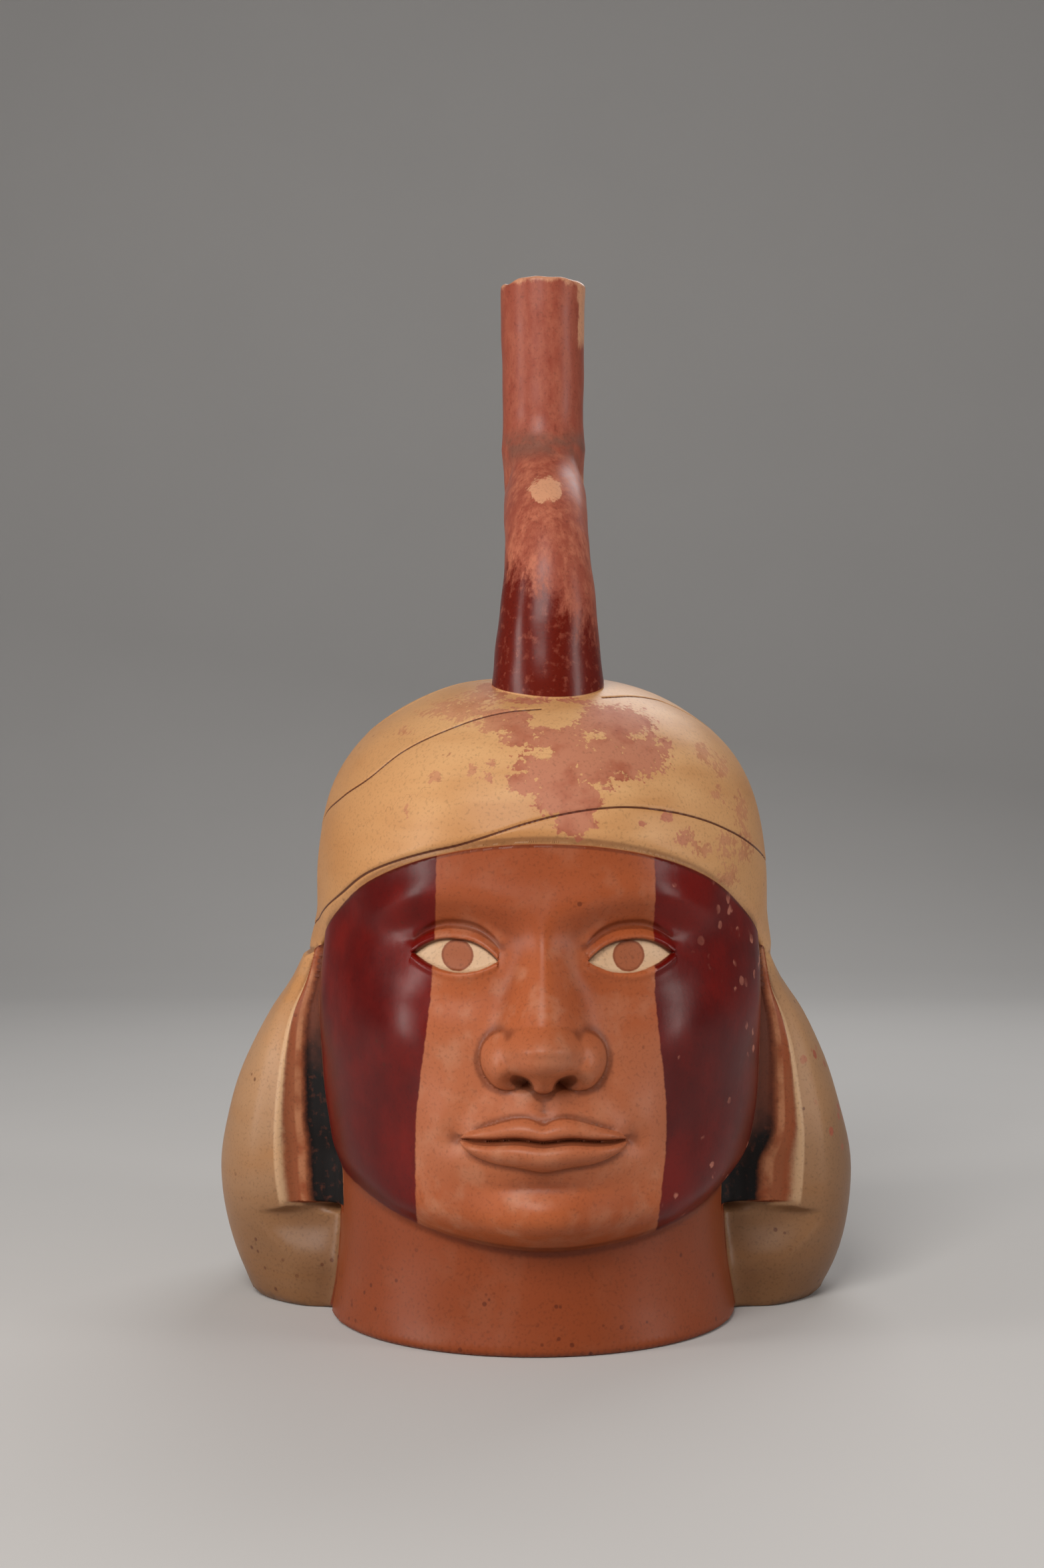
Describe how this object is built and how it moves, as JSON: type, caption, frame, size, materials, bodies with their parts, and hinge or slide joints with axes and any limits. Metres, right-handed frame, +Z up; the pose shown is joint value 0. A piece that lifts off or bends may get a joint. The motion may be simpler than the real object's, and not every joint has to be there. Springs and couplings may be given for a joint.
{
  "type": "portrait vessel",
  "caption": "Hollow fired-clay head vessel with a wrapped headcloth, flat base and stirrup spout; pours and fills through the spout.",
  "frame": {"origin": "on the flat underside, on the upright axis that the head is laid out round", "axes": "+Z up along the spout, -Y out of the face, +X to the right seen from the front"},
  "size_m": [0.187, 0.195, 0.3],
  "materials": {
    "slipped_clay": "satin"
  },
  "bodies": {
    "root": {"portrait_vessel": "slipped_clay"}
  },
  "joints": []
}
